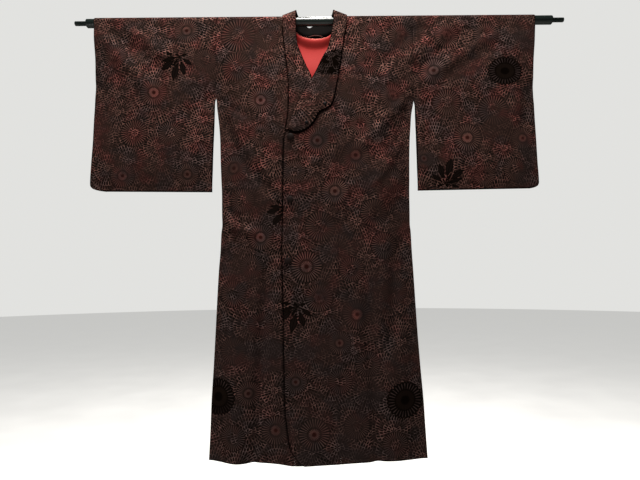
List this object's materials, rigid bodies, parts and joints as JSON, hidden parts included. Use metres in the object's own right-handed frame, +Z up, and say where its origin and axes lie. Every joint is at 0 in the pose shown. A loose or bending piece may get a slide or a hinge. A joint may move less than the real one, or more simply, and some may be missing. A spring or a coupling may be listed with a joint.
{
  "type": "michiyuki coat on a hanging rod",
  "caption": "Long kimono overcoat with square-cut sleeves, a shaped collar flap and covered buttons down one edge, hung through its sleeves on a straight rod.",
  "frame": {"origin": "middle of the hanging rod, on its axis", "axes": "+X along the rod towards the wearer's left sleeve, +Y towards the back of the coat, +Z up"},
  "size_m": [1.408, 0.0826, 1.2609],
  "materials": {
    "cloth": "matt to softly lustrous patterned silk, red petal outlines on a brown-black ground",
    "lining": "smooth coral red lining silk with a soft sheen",
    "rod": "gloss dark green-black enamel",
    "covered_button": "dark cloth drawn over a dome",
    "press_stud": "dark cloth over a small stud",
    "loop_cord": "thin twisted silk cord"
  },
  "bodies": {
    "root": {"rod": "rod", "front_left": "cloth", "front_right": "cloth", "back_left": "cloth", "back_right": "cloth", "overlap_left": "cloth", "overlap_right": "cloth", "sleeve_left_front": "cloth", "sleeve_left_back": "cloth", "sleeve_right_front": "cloth", "sleeve_right_back": "cloth", "collar_back": "cloth", "collar_left": "cloth", "collar_right": "cloth", "lining_back": "lining", "hanging_loop": "loop_cord", "button_1": "covered_button", "button_2": "covered_button", "button_3": "covered_button", "stud_1": "press_stud", "stud_2": "press_stud"}
  },
  "joints": []
}
